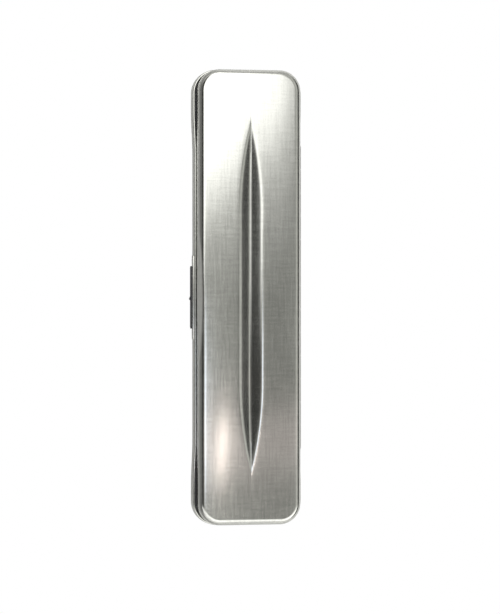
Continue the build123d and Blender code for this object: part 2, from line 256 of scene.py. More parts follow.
def node_maker(tree):
    """A helper that adds a node to a tree, with its settings, and sets or links its inputs."""

    def node(kind, inputs=None, **settings):
        made = tree.nodes.new(kind)
        for key, value in settings.items():
            setattr(made, key, value)
        for key, value in (inputs or {}).items():
            if isinstance(value, bpy.types.NodeSocket):
                tree.links.new(value, made.inputs[key])
            else:
                made.inputs[key].default_value = value
        return made

    return node


def shader(name):
    """A new material with its Principled shader and helpers that add nodes and link them to it."""
    material = bpy.data.materials.new(name)
    material.use_nodes = True
    tree = material.node_tree
    surface = tree.nodes["Principled BSDF"]

    def link(source, socket):
        tree.links.new(source, surface.inputs[socket])

    return material, surface, node_maker(tree), link


def brushed_metal(name, colour, roughness, pitch, spread, depth):
    """Satin metal: fine lengthwise brush lines crossed by fainter ones, a fine grain between them,
    and a slow drift of tone and gloss from handling."""
    material, surface, node, link = shader(name)
    surface.inputs["Metallic"].default_value = 1.0
    where = node("ShaderNodeTexCoord").outputs["Object"]

    def noise(scale, detail):
        stretched = node("ShaderNodeMapping", {"Vector": where, "Scale": scale}).outputs["Vector"]
        made = node(
            "ShaderNodeTexNoise",
            {"Vector": stretched, "Scale": 1.0, "Detail": detail, "Roughness": 0.65},
        )
        return made.outputs["Fac"]

    def mixed(share, first, second):
        made = node("ShaderNodeMix", {"Factor": share, "A": first, "B": second}, data_type="FLOAT")
        return made.outputs["Result"]

    def ranged(value, low, high, start, end):
        return node(
            "ShaderNodeMapRange",
            {"Value": value, "From Min": low, "From Max": high, "To Min": start, "To Max": end},
        ).outputs["Result"]

    lines = noise((pitch / 14, pitch, pitch), 3.0)
    crossed = noise((pitch, pitch / 10, pitch / 10), 3.0)
    grain = noise((pitch * 1.7, pitch * 1.7, pitch * 1.7), 2.0)
    weave = mixed(0.42, lines, crossed)
    both = mixed(0.3, weave, grain)
    drift = noise((30.0, 45.0, 45.0), 2.0)
    tone = ranged(both, 0.38, 0.62, 1.0 - spread, 1.0 + spread)
    wash = ranged(drift, 0.3, 0.7, 0.98, 1.02)
    shade = node("ShaderNodeMath", {0: tone, 1: wash}, operation="MULTIPLY").outputs["Value"]
    tint = node("ShaderNodeVectorMath", {0: colour, "Scale": shade}, operation="SCALE")
    link(tint.outputs["Vector"], "Base Color")
    worn = mixed(0.35, both, drift)
    link(ranged(worn, 0.35, 0.65, roughness - 0.03, roughness + 0.04), "Roughness")
    bump = node("ShaderNodeBump", {"Height": both, "Strength": depth, "Distance": 0.00005})
    link(bump.outputs["Normal"], "Normal")
    return material


def arc_steps(count, start=0.0, end=90.0):
    """Evenly spaced angles in radians."""
    return [math.radians(start + (end - start) * k / count) for k in range(count + 1)]


def base_profile():
    """Steps from the floor's edge up the outside, over the rolled mouth and down the inside."""
    lip = SHEET / 2
    steps = []
    for a in arc_steps(12)[1:]:
        steps.append(ring(BASE_BEND * (1 - math.sin(a)), BASE_BEND * (1 - math.cos(a))))
    for share in (0.35, 0.7):
        steps.append(ring(0.0, BASE_BEND + share * (BASE_TOP - lip - BASE_BEND)))
    for a in arc_steps(5):
        steps.append(ring(lip * (1 - math.cos(a)), BASE_TOP - lip * (1 - math.sin(a))))
    for a in arc_steps(4):
        steps.append(ring(SHEET - lip * (1 - math.sin(a)), BASE_TOP - lip * (1 - math.cos(a))))
    bend = BASE_BEND - SHEET
    for share in (0.4, 0.8):
        steps.append(ring(SHEET, BASE_TOP - lip - share * (BASE_TOP - lip - BASE_BEND)))
    for a in arc_steps(12):
        steps.append(ring(SHEET + bend * (1 - math.cos(a)), SHEET + bend * (1 - math.sin(a))))
    return steps


satin_aluminium = brushed_metal(
    "satin_aluminium", (0.62, 0.62, 0.60), 0.15, pitch=1500.0, spread=0.12, depth=0.1
)
base_plan = Plan(
    base_high.x, HALF_WIDTH + LEDGE, CORNER + LEDGE, 120, 34, bulge=swell
)
base_skin = finished(
    "base_skin",
    pressed_sheet(
        base_plan,
        BASE_BEND,
        lambda x, y: Vector((x, y, 0.0)),
        base_profile(),
        BASE_BEND,
        lambda x, y: Vector((x, y, SHEET)),
    ),
    satin_aluminium,
)
notch = bmesh.new()
block(
    notch, (-NOTCH, HALF_WIDTH - 2.0, PIN_Z - BARREL - NOTCH_ROOM),
    (NOTCH, HALF_WIDTH + 4.0, BASE_TOP + 2.0),
)
cut(base_skin, "DIFFERENCE", notch)
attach(base_skin, "base")
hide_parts("base_shell")

# ---------------------------------------------------------------------------------------------
# Lid shell. Drawn from the same aluminium: a low crowned top with a spindle-shaped groove pressed
# in along its middle, and a shallow thumb scoop pressed into the front edge above the release bar.
# ---------------------------------------------------------------------------------------------
LID_FOOT = lid_low.z
LID_TOP = lid_high.z
LID_BEND = 2.2
LID_LIP = 0.28
CROWN_RISE = 1.0
EDGE_DROP = 2.05
LID_WALL_TOP = LID_TOP - CROWN_RISE - EDGE_DROP
GROOVE_WIDTH = 4.06
GROOVE_DEPTH = 2.3
GROOVE_STRAIGHT = 29.5
GROOVE_END = 126.0
GROOVE_EASE = 0.4
KEEL_ROUND = 0.1
FLANK = GROOVE_DEPTH / GROOVE_WIDTH
SCOOP_RADIUS = 350.0
SCOOP_SLOPE = math.radians(75.0)
SCOOP_START = LID_FOOT + 1.7
SCOOP_EASE = 0.12
GATHER_REACH = 10.0
GATHER_KNEE = 0.55
GATHER_RUN_OUT = 9.0


def soft_max(a, b, ease):
    """The larger of two values, eased where they meet."""
    return (a + b + math.sqrt((a - b) ** 2 + ease * ease)) / 2


def soft_min(a, b, ease):
    return -soft_max(-a, -b, ease)


def crown(y):
    """Height of the plain crowned top."""
    return LID_TOP - CROWN_RISE * (y / HALF_WIDTH) ** 2


def groove_half_width(x):
    """Half width of the groove; below zero beyond its pointed tips."""
    past = max(abs(x) - GROOVE_STRAIGHT, 0.0)
    return math.sqrt(GROOVE_END**2 - past**2) - GROOVE_END + GROOVE_WIDTH


def groove_drop(x, y, inset):
    """Depth of the groove, with a rounded keel and rounded edges."""
    widened = inset * (math.sqrt(1 + FLANK**2) - 1) / FLANK
    from_keel = math.sqrt(y * y + KEEL_ROUND * KEEL_ROUND)
    inside = groove_half_width(x) + widened + KEEL_ROUND * 0.6 - from_keel
    return FLANK * soft_max(inside, 0.0, GROOVE_EASE)


def scoop_height(x, y, inset):
    """Height of the scoop's surface above a place."""
    hollow = SCOOP_RADIUS - math.sqrt(SCOOP_RADIUS**2 - x * x)
    rise = hollow + (y + HALF_WIDTH) * math.sin(SCOOP_SLOPE) - inset
    return SCOOP_START + rise / math.cos(SCOOP_SLOPE)


def lid_surface(inset):
    """Height of the lid's top face, or of a face that lies inset below it."""

    def level(x, y):
        top = crown(y) - inset - groove_drop(x, y, inset)
        return soft_min(top, scoop_height(x, y, inset), SCOOP_EASE)

    return level


def gathered(level):
    """Draws the grid's lines in towards the groove before setting the height."""

    def place(x, y):
        width = 1.12 * soft_max(groove_half_width(x), 0.5, 0.6)
        share = abs(y) / GATHER_REACH
        if share < 1:
            drawn = share / GATHER_KNEE * width
            if share > GATHER_KNEE:
                beyond = (share - GATHER_KNEE) / (1 - GATHER_KNEE)
                drawn = width + beyond * (GATHER_REACH - width)
            pull = smooth_step((HALF_LENGTH - LID_BEND - 1.0 - abs(x)) / GATHER_RUN_OUT)
            y = math.copysign(abs(y) + pull * (drawn - abs(y)), y)
        return Vector((x, y, level(x, y)))

    return place


def lid_round(inset, angle, bend, wall_top=LID_WALL_TOP):
    """One step of the rounding between the lid's wall and its top."""

    def level(x, y):
        top = wall_top + (crown(y) - inset - wall_top) * math.sin(angle)
        return soft_min(top, scoop_height(x, y, inset), SCOOP_EASE)

    return ring(inset + bend * (1 - math.cos(angle)), level)


def lid_wall(inset, share, foot):
    """One step of the lid's upright wall, lowered where the scoop cuts it."""

    def level(x, y):
        top = soft_min(LID_WALL_TOP, scoop_height(x, y, inset), SCOOP_EASE)
        return foot + share * (top - foot)

    return ring(inset, level)


def lid_profile(inset, thickness, foot, lip):
    """Steps from the top's edge down the outside, round the mouth and up the inside."""
    steps = []
    for a in reversed(arc_steps(12)[1:-1]):
        steps.append(lid_round(inset, a, LID_BEND - inset))
    for share in (1.0, 0.8, 0.6):
        steps.append(lid_wall(inset, share, foot + lip))
    steps.append(ring(inset, foot + lip + 0.35))
    for a in arc_steps(4):
        steps.append(ring(inset + lip * (1 - math.cos(a)), foot + lip * (1 - math.sin(a))))
    for a in arc_steps(3):
        steps.append(
            ring(inset + thickness - lip * (1 - math.sin(a)), foot + lip * (1 - math.cos(a)))
        )
    for share in (0.6, 1.0):
        steps.append(lid_wall(inset + thickness, share, foot + lip))
    for a in arc_steps(8)[1:]:
        steps.append(lid_round(inset + thickness, a, LID_BEND - inset - thickness))
    return steps


lid_plan = Plan(HALF_LENGTH, HALF_WIDTH, CORNER, 190, 60)
lid_skin = finished(
    "lid_skin",
    pressed_sheet(
        lid_plan,
        LID_BEND,
        gathered(lid_surface(0.0)),
        lid_profile(0.0, SHEET, LID_FOOT, LID_LIP),
        LID_BEND,
        gathered(lid_surface(SHEET)),
    ),
    satin_aluminium,
)
notch = bmesh.new()
block(
    notch, (-NOTCH, HALF_WIDTH - 2.0, LID_FOOT - 2.0),
    (NOTCH, HALF_WIDTH + 4.0, PIN_Z + BARREL + NOTCH_ROOM),
)
cut(lid_skin, "DIFFERENCE", notch)
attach(lid_skin, "lid")
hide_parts("lid_shell")

# ---------------------------------------------------------------------------------------------
# Hinge. Two steel leaves, each blanked with tongues that are rolled into knuckles. The knuckles
# alternate along one drawn pin, whose two ends are upset into flat heads.
# ---------------------------------------------------------------------------------------------
SLOTS = 13
LEAF = 0.45
PIN_HEAD_LENGTH = 0.35
HINGE_HALF = pin_high.x - PIN_HEAD_LENGTH
SLOT_PITCH = 2 * HINGE_HALF / SLOTS
KNUCKLE_PLAY = 0.075
KNUCKLE_HALF = SLOT_PITCH / 2 - KNUCKLE_PLAY
KNUCKLE_ROUND = 0.07
BORE = 0.48
STRIP_DROP = 0.25
TONGUE_ROOT = 0.6
TONGUE_SHORT = 0.3
TONGUE_SETBACK = 0.02
SPUN_SEAM = 1e-3
AXIS = Vector((0.0, PIN_Y, PIN_Z))


def spun(bm, points, centre, axis, steps=32):
    """Turns a line through a few points once round an axis, which closes it into a solid."""
    verts = [bm.verts.new(point) for point in points]
    edges = [bm.edges.new(pair) for pair in zip(verts, verts[1:])]
    bmesh.ops.spin(
        bm, geom=verts + edges, cent=centre, axis=axis, angle=2 * math.pi, steps=steps,
        use_merge=True,
    )
    bmesh.ops.remove_doubles(bm, verts=bm.verts, dist=SPUN_SEAM)
    bmesh.ops.recalc_face_normals(bm, faces=bm.faces)


def knuckle(middle):
    """One rolled knuckle round the pin, its ends deburred."""
    bm = bmesh.new()
    start, end = middle - KNUCKLE_HALF, middle + KNUCKLE_HALF
    outline = [
        (start, PIN_Y, PIN_Z + BORE),
        (start, PIN_Y, PIN_Z + BARREL - KNUCKLE_ROUND),
        (start + KNUCKLE_ROUND, PIN_Y, PIN_Z + BARREL),
        (end - KNUCKLE_ROUND, PIN_Y, PIN_Z + BARREL),
        (end, PIN_Y, PIN_Z + BARREL - KNUCKLE_ROUND),
        (end, PIN_Y, PIN_Z + BORE),
        (start, PIN_Y, PIN_Z + BORE),
    ]
    spun(bm, outline, AXIS, (1, 0, 0))
    return bm


def hinge_leaf(name, slots, strip_low, strip_high, tongue_low, tongue_high):
    """A leaf with a tongue and a knuckle at each of its slots."""
    bm = bmesh.new()
    strip_half = HINGE_HALF - KNUCKLE_PLAY
    block(bm, (-strip_half, *strip_low), (strip_half, *strip_high), 0.08)
    piece = finished(name, bm, hinge_steel, smooth_angle=35.0)
    for index in slots:
        middle = -HINGE_HALF + (index + 0.5) * SLOT_PITCH
        tongue = bmesh.new()
        block(
            tongue, (middle - KNUCKLE_HALF + TONGUE_SETBACK, *tongue_low),
            (middle + KNUCKLE_HALF - TONGUE_SETBACK, *tongue_high), 0.05,
        )
        cut(piece, "UNION", tongue)
        cut(piece, "UNION", knuckle(middle))
    return piece


hinge_steel = brushed_metal(
    "hinge_steel", (0.42, 0.42, 0.415), 0.3, pitch=2600.0, spread=0.12, depth=0.1
)
lid_leaf_low, lid_leaf_high = (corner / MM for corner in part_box("hinge_leaf_lid"))
leaf_back = leaf_low.y + LEAF
base_leaf = hinge_leaf(
    "base_hinge_leaf", range(0, SLOTS, 2),
    (leaf_low.y, leaf_low.z), (leaf_back, PIN_Z - BARREL - STRIP_DROP),
    (leaf_low.y, PIN_Z - BARREL - TONGUE_ROOT), (leaf_back, PIN_Z - TONGUE_SHORT),
)
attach(base_leaf, "base")
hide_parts("hinge_leaf_base")
tongue_foot = PIN_Z + BARREL - LEAF
lid_leaf = hinge_leaf(
    "lid_hinge_leaf", range(1, SLOTS, 2),
    (lid_leaf_low.y, tongue_foot), (lid_leaf_low.y + LEAF, lid_leaf_high.z),
    (lid_leaf_low.y + 0.1, tongue_foot), (PIN_Y - TONGUE_SHORT, PIN_Z + BARREL - 0.01),
)
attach(lid_leaf, "lid")
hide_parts("hinge_leaf_lid")

PIN_RADIUS = 0.45
PIN_HEAD = pin_high.z - PIN_Z
HEAD_ROUND = 0.12
rows = []
for side in (-1, 1):
    tip, under = side * pin_high.x, side * HINGE_HALF
    end_rows = [
        (tip, 0.0), (tip, PIN_HEAD - HEAD_ROUND), (tip - side * HEAD_ROUND, PIN_HEAD),
        (under, PIN_HEAD), (under, PIN_RADIUS),
    ]
    rows += end_rows if side < 0 else end_rows[::-1]
bm = bmesh.new()
spun(bm, [(x, PIN_Y, PIN_Z + radius) for x, radius in rows], AXIS, (1, 0, 0))
pin = finished("hinge_pin_wire", bm, hinge_steel)
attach(pin, "base")
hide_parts("hinge_pin")

# ---------------------------------------------------------------------------------------------
# Leaf fasteners. Aluminium studs welded to the inside of the shells' back walls and riveted over
# the leaves, each with a low domed head.
# ---------------------------------------------------------------------------------------------
STUD = 0.5
HEAD = 0.8
HEAD_RISE = 0.25
HEAD_RIM = 0.3
LEAF_STUDS = (12.0, 30.0, 47.0)


def domed_stud(bm, x, z, foot, inward, thickness):
    """A stud from a wall's inner face through a leaf, with a domed head on the far side."""
    under = foot + inward * thickness
    rows = [(0.0, foot), (STUD, foot), (STUD, under), (HEAD, under)]
    for a in arc_steps(5):
        rise = HEAD_RISE * (HEAD_RIM + (1 - HEAD_RIM) * math.sin(a))
        rows.append((HEAD * math.cos(a), under + inward * rise))
    spun(bm, [(x + radius, y, z) for radius, y in rows], (x, 0, z), (0, 1, 0), steps=24)


def stud_group(name, node, body, places, foot, inward):
    """All the studs of one node, on its level."""
    low, high = (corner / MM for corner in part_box(node))
    bm = bmesh.new()
    for x in places:
        domed_stud(bm, x, (low.z + high.z) / 2, foot, inward, LEAF)
    group = finished(name, bm, satin_aluminium)
    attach(group, body)
    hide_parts(node)


leaf_stud_places = [side * place for place in LEAF_STUDS for side in (-1, 1)]
BASE_WALL_IN = HALF_WIDTH + LEDGE - SHEET
LID_WALL_IN = HALF_WIDTH - SHEET
stud_group("base_leaf_rivets", "base_leaf_fasteners", "base", leaf_stud_places, BASE_WALL_IN, -1)
stud_group("lid_leaf_rivets", "lid_leaf_fasteners", "lid", leaf_stud_places, LID_WALL_IN, -1)

# ---------------------------------------------------------------------------------------------
# Release bar. A dark bar that stands off the front wall inside a thin bright frame. The bar is
# moulded with chamfered ends and a small ramped nib at its middle for the fingernail.
# ---------------------------------------------------------------------------------------------
def moulded_dark(name, colour, roughness):
    """Matte dark plastic with a fine spark-eroded grain."""
    material, surface, node, link = shader(name)
    where = node("ShaderNodeTexCoord").outputs["Object"]
    grain = node("ShaderNodeTexNoise", {"Vector": where, "Scale": 3000.0, "Detail": 4.0})
    wear = node("ShaderNodeTexNoise", {"Vector": where, "Scale": 260.0, "Detail": 3.0})
    tone = node(
        "ShaderNodeMapRange",
        {
            "Value": wear.outputs["Fac"], "From Min": 0.35, "From Max": 0.7,
            "To Min": 0.85, "To Max": 1.3,
        },
    ).outputs["Result"]
    tint = node("ShaderNodeVectorMath", {0: colour, "Scale": tone}, operation="SCALE")
    link(tint.outputs["Vector"], "Base Color")
    rough = node(
        "ShaderNodeMapRange",
        {"Value": grain.outputs["Fac"], "To Min": roughness - 0.1, "To Max": roughness + 0.1},
    ).outputs["Result"]
    link(rough, "Roughness")
    bump = node(
        "ShaderNodeBump", {"Height": grain.outputs["Fac"], "Strength": 0.3, "Distance": 0.00005}
    )
    link(bump.outputs["Normal"], "Normal")
    return material


bar_low, bar_high = (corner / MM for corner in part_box("release_bar"))
NIB = 0.4
NIB_MARGIN = 0.25
BAR_CHAMFER = 0.5
WINDOW_PLAY = 0.12
bar_face = bar_low.y + NIB


def edges_along_y(bm):
    """The edges that run straight out from the front wall."""
    return [
        e
        for e in bm.edges
        if abs(e.verts[0].co.x - e.verts[1].co.x) < 1e-6
        and abs(e.verts[0].co.z - e.verts[1].co.z) < 1e-6
    ]


dark_bar = moulded_dark("dark_bar", (0.035, 0.035, 0.04), 0.5)
bm = bmesh.new()
block(bm, (bar_low.x, bar_face, bar_low.z), (bar_high.x, bar_high.y, bar_high.z))
bmesh.ops.bevel(
    bm, geom=edges_along_y(bm), offset=BAR_CHAMFER, segments=1, profile=0.5, affect="EDGES",
    material=-1,
)
bmesh.ops.bevel(
    bm, geom=list(bm.edges), offset=0.1, segments=3, profile=0.5, affect="EDGES", material=-1
)
bar = finished("release_bar_moulding", bm, dark_bar)
nib = bmesh.new()
block(
    nib, (-1.0, bar_low.y, bar_low.z + NIB_MARGIN),
    (1.0, bar_face + 0.2, bar_high.z - NIB_MARGIN),
)
for v in nib.verts:
    if v.co.y < bar_face - 0.1:
        v.co.x = 0.8 if v.co.x > 0 else 0.45
bmesh.ops.bevel(
    nib, geom=list(nib.edges), offset=0.07, segments=2, profile=0.5, affect="EDGES", material=-1
)
cut(bar, "UNION", nib)
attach(bar, "release")
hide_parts("release_bar")

frame_low, frame_high = (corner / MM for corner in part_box("bar_frame"))
bm = bmesh.new()
block(bm, frame_low, frame_high)
bmesh.ops.bevel(
    bm, geom=edges_along_y(bm), offset=0.6, segments=5, profile=0.5, affect="EDGES", material=-1
)
face_edges = [e for e in bm.edges if all(v.co.y < frame_low.y + 1e-4 for v in e.verts)]
bmesh.ops.bevel(
    bm, geom=face_edges, offset=0.12, segments=3, profile=0.5, affect="EDGES", material=-1
)
surround = finished("bar_surround", bm, satin_aluminium)
window = bmesh.new()
block(
    window,
    (bar_low.x - WINDOW_PLAY, frame_low.y - 1.0, bar_low.z - WINDOW_PLAY),
    (bar_high.x + WINDOW_PLAY, frame_high.y + 1.0, bar_high.z + WINDOW_PLAY),
)
cut(surround, "DIFFERENCE", window)
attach(surround, "base")
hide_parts("bar_frame")

# ---------------------------------------------------------------------------------------------
# Catch inside the front wall. Two steel studs join the release bar to a folded hook plate behind
# the wall, held on by round clips, and a folded guide riveted to the wall carries the studs' ends.
# ---------------------------------------------------------------------------------------------
CATCH_Z = (bar_low.z + bar_high.z) / 2
STUD_X = 7.5
STUD_RADIUS = 0.6
STUD_HOLE = 0.62
GUIDE_HOLE = 0.7
CLIP_RADIUS = 1.1
hook_low, hook_high = (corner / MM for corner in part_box("catch_hook"))
clip_low, clip_high = (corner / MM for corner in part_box("stud_clips"))
studs_low, studs_high = (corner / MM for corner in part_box("release_studs"))
guide_low, guide_high = (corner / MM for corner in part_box("catch_guide"))
keeper_low, keeper_high = (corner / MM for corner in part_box("lid_keeper"))
HOOK_BACK = clip_low.y - LEAF


def pressed_strip(outline, reach, round_edges):
    """A strip of one section: the outline as a face, drawn out by reach, its edges softened."""
    bm = bmesh.new()
    face = bm.faces.new([bm.verts.new(point) for point in outline])
    drawn = bmesh.ops.extrude_face_region(bm, geom=[face])["geom"]
    moved = [v for v in drawn if isinstance(v, bmesh.types.BMVert)]
    bmesh.ops.translate(bm, vec=reach, verts=moved)
    bmesh.ops.recalc_face_normals(bm, faces=bm.faces)
    bmesh.ops.bevel(
        bm, geom=list(bm.edges), offset=round_edges, segments=2, profile=0.5, affect="EDGES",
        material=-1, clamp_overlap=True,
    )
    return bm


def round_bars(places, start, end, radius, chamfer=0.0, bore=0.0):
    """Round bars along Y at several places along X on the catch's level."""
    bm = bmesh.new()
    for x in places:
        rows = [
            (bore, start), (radius - chamfer, start), (radius, start + chamfer),
            (radius, end - chamfer), (radius - chamfer, end), (bore, end),
        ]
        if bore > 0:
            rows.append((bore, start))
        spun(
            bm, [(x + size, y, CATCH_Z) for size, y in rows], (x, 0, CATCH_Z), (0, 1, 0), steps=28
        )
    return bm


studs = finished(
    "bar_studs",
    round_bars((-STUD_X, STUD_X), studs_low.y, studs_high.y, STUD_RADIUS, chamfer=0.08),
    hinge_steel,
)
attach(studs, "release")
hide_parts("release_studs")

HOOK_PLAY = 0.15
HOOK_FOOT = keeper_low.z + LEAF + HOOK_PLAY
TAB = 4.5
TAB_FOOT = CATCH_Z - 0.4
PLATE_TOP = CATCH_Z + 0.85
tab = pressed_strip(
    [
        (-TAB, HOOK_BACK, TAB_FOOT),
        (-TAB, clip_low.y, TAB_FOOT),
        (-TAB, clip_low.y, hook_high.z),
        (-TAB, HOOK_BACK, hook_high.z),
        (-TAB, hook_low.y, HOOK_FOOT + 0.06),
        (-TAB, hook_low.y, HOOK_FOOT),
        (-TAB, HOOK_BACK, HOOK_FOOT),
    ],
    (2 * TAB, 0, 0),
    0.03,
)
bm = bmesh.new()
block(bm, (hook_low.x, HOOK_BACK, hook_low.z), (hook_high.x, clip_low.y, PLATE_TOP), 0.08)
hook = finished("hook_plate", bm, hinge_steel, smooth_angle=35.0)
cut(hook, "UNION", tab)
stud_holes = round_bars((-STUD_X, STUD_X), HOOK_BACK - 1, clip_low.y + 1, STUD_HOLE)
cut(hook, "DIFFERENCE", stud_holes)
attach(hook, "release")
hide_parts("catch_hook")

clips = finished(
    "round_clips",
    round_bars(
        (-STUD_X, STUD_X), clip_low.y, clip_high.y, CLIP_RADIUS, chamfer=0.05, bore=STUD_HOLE
    ),
    hinge_steel,
)
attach(clips, "release")
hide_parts("stud_clips")

GUIDE_BACK = guide_high.y - LEAF
ARM = 10.5
guide_outline = [
    (-guide_high.x, guide_low.y), (-ARM + LEAF, guide_low.y), (-ARM + LEAF, GUIDE_BACK),
    (ARM - LEAF, GUIDE_BACK), (ARM - LEAF, guide_low.y), (guide_high.x, guide_low.y),
    (guide_high.x, guide_low.y + LEAF), (ARM, guide_low.y + LEAF), (ARM, guide_high.y),
    (-ARM, guide_high.y), (-ARM, guide_low.y + LEAF), (-guide_high.x, guide_low.y + LEAF),
]
guide = finished(
    "stud_guide",
    pressed_strip(
        [(x, y, guide_low.z) for x, y in guide_outline], (0, 0, guide_high.z - guide_low.z), 0.07
    ),
    hinge_steel,
    smooth_angle=35.0,
)
guide_holes = round_bars((-STUD_X, STUD_X), GUIDE_BACK - 1, guide_high.y + 1, GUIDE_HOLE)
cut(guide, "DIFFERENCE", guide_holes)
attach(guide, "base")
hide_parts("catch_guide")
guide_foot_x = (ARM + guide_high.x) / 2
stud_group("guide_rivets", "guide_fasteners", "base", (-guide_foot_x, guide_foot_x), guide_low.y, 1)

# ---------------------------------------------------------------------------------------------
# Return springs. Two small coils of spring wire on the studs, between the clips and the guide.
# On the real case they shorten as the bar is pressed and push it back out; here they are fixed
# coils.
# ---------------------------------------------------------------------------------------------
spring_steel = brushed_metal(
    "spring_steel", (0.33, 0.33, 0.335), 0.24, pitch=6000.0, spread=0.08, depth=0.05
)
WIRE = 0.09
COIL = 0.85
TURNS = 3
COIL_STEPS = 96
TRAVEL = 0.55
for name, x in (("left", -STUD_X), ("right", STUD_X)):
    start, end = clip_high.y, GUIDE_BACK
    bm = bmesh.new()
    bmesh.ops.create_circle(
        bm, segments=10, radius=WIRE, cap_ends=False,
        matrix=Matrix.Translation((x + COIL, start + WIRE, CATCH_Z)),
    )
    bmesh.ops.spin(
        bm, geom=bm.verts[:] + bm.edges[:], cent=(x, 0, CATCH_Z), axis=(0, 1, 0),
        dvec=(0, (end - start - 2 * WIRE) / COIL_STEPS, 0), angle=TURNS * 2 * math.pi,
        steps=COIL_STEPS, use_merge=False,
    )
    bmesh.ops.holes_fill(bm, edges=[e for e in bm.edges if e.is_boundary], sides=12)
    bmesh.ops.recalc_face_normals(bm, faces=bm.faces)
    coil = finished(f"return_coil_{name}", bm, spring_steel)
    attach(coil, "base")
    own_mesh(coil)
    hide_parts(f"return_spring_{name}")

# ---------------------------------------------------------------------------------------------
# Keeper. A folded steel strip riveted inside the lid's front wall. Its tongue points inward, and
# the hook snaps over it.
# ---------------------------------------------------------------------------------------------
KEEPER_STUD_X = 5.45
keeper_face = keeper_low.y + LEAF
keeper = finished(
    "keeper_strip",
    pressed_strip(
        [
            (keeper_low.x, keeper_low.y, keeper_low.z),
            (keeper_low.x, keeper_high.y, keeper_low.z),
            (keeper_low.x, keeper_high.y, keeper_low.z + LEAF),
            (keeper_low.x, keeper_face, keeper_low.z + LEAF),
            (keeper_low.x, keeper_face, keeper_high.z),
            (keeper_low.x, keeper_low.y, keeper_high.z),
        ],
        (keeper_high.x - keeper_low.x, 0, 0),
        0.07,
    ),
    hinge_steel,
    smooth_angle=35.0,
)
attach(keeper, "lid")
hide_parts("lid_keeper")
keeper_stud_places = (-KEEPER_STUD_X, KEEPER_STUD_X)
stud_group("keeper_rivets", "keeper_fasteners", "lid", keeper_stud_places, keeper_low.y, 1)

# ---------------------------------------------------------------------------------------------
# Inlays. Thin moulded trays coated with short charcoal flock, glued into the base and the lid.
# The lower one has a collar that rests on the shell, and a pocket round the catch.
# ---------------------------------------------------------------------------------------------
inlay_low, inlay_high = (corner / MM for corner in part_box("base_inlay"))
cover_low, _ = (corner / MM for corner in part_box("lid_inlay"))
INLAY = 0.8
TRAY_INSET = 1.8
TRAY_LIP = 0.35
COLLAR_TOP = BASE_TOP - 0.15
COLLAR = 0.7
COLLAR_ROUND = 0.1
POCKET_PLAY = 0.25
POCKET_X = ARM + POCKET_PLAY
POCKET_Y = studs_high.y + TRAVEL + POCKET_PLAY
TRAY_LINES = (80, 26)


def flock():
    """Dense short fibres: soft, matt, with a faint nap that drifts in direction and tone."""
    material, surface, node, link = shader("inlay_flock")
    where = node("ShaderNodeTexCoord").outputs["Object"]
    fibres = node(
        "ShaderNodeTexNoise",
        {"Vector": where, "Scale": 5200.0, "Detail": 4.0, "Roughness": 0.7},
    )
    nap = node(
        "ShaderNodeTexNoise",
        {"Vector": where, "Scale": 90.0, "Detail": 4.0, "Roughness": 0.55},
    )
    both = node(
        "ShaderNodeMix", {"Factor": 0.45, "A": fibres.outputs["Fac"], "B": nap.outputs["Fac"]},
        data_type="FLOAT",
    ).outputs["Result"]
    colour = node("ShaderNodeValToRGB", {"Fac": both})
    ramp = colour.color_ramp
    ramp.elements[0].position = 0.34
    ramp.elements[0].color = (0.012, 0.012, 0.014, 1)
    ramp.elements[1].position = 0.68
    ramp.elements[1].color = (0.052, 0.052, 0.058, 1)
    link(colour.outputs["Color"], "Base Color")
    surface.inputs["Roughness"].default_value = 0.95
    surface.inputs["Sheen Weight"].default_value = 0.6
    surface.inputs["Sheen Roughness"].default_value = 0.45
    bump = node(
        "ShaderNodeBump", {"Height": fibres.outputs["Fac"], "Strength": 0.7, "Distance": 0.00012}
    )
    link(bump.outputs["Normal"], "Normal")
    return material


inlay_flock = flock()


def tray_profile(thickness, bend, floor, top, lip):
    """Steps from the tray floor's edge up its outside, over the lip and down its inside."""
    steps = []
    for a in arc_steps(8)[1:]:
        steps.append(ring(bend * (1 - math.sin(a)), floor + bend * (1 - math.cos(a))))
    steps.append(ring(0.0, top - lip - 0.3))
    for a in arc_steps(4):
        steps.append(ring(lip * (1 - math.cos(a)), top - lip * (1 - math.sin(a))))
    for a in arc_steps(4)[1:]:
        steps.append(ring(thickness - lip * (1 - math.sin(a)), top - lip * (1 - math.cos(a))))
    steps.append(ring(thickness, top - lip - 0.3))
    for a in arc_steps(8):
        reach = bend - thickness
        steps.append(
            ring(thickness + reach * (1 - math.cos(a)), floor + bend - reach * math.sin(a))
        )
    return steps


TRAY_BEND = 5.2
tray_plan = Plan(
    HALF_LENGTH - TRAY_INSET, HALF_WIDTH - TRAY_INSET, CORNER - TRAY_INSET, *TRAY_LINES
)
tray = finished(
    "base_tray",
    pressed_sheet(
        tray_plan,
        TRAY_BEND,
        lambda x, y: Vector((x, y, inlay_low.z)),
        tray_profile(INLAY, TRAY_BEND, inlay_low.z, inlay_high.z, TRAY_LIP),
        TRAY_BEND,
        lambda x, y: Vector((x, y, inlay_low.z + INLAY)),
    ),
    inlay_flock,
)
GLUE = 0.05
collar_plan = Plan(
    base_high.x - SHEET - GLUE, HALF_WIDTH + LEDGE - SHEET - GLUE, CORNER + LEDGE - SHEET - GLUE,
    *TRAY_LINES, bulge=swell,
)


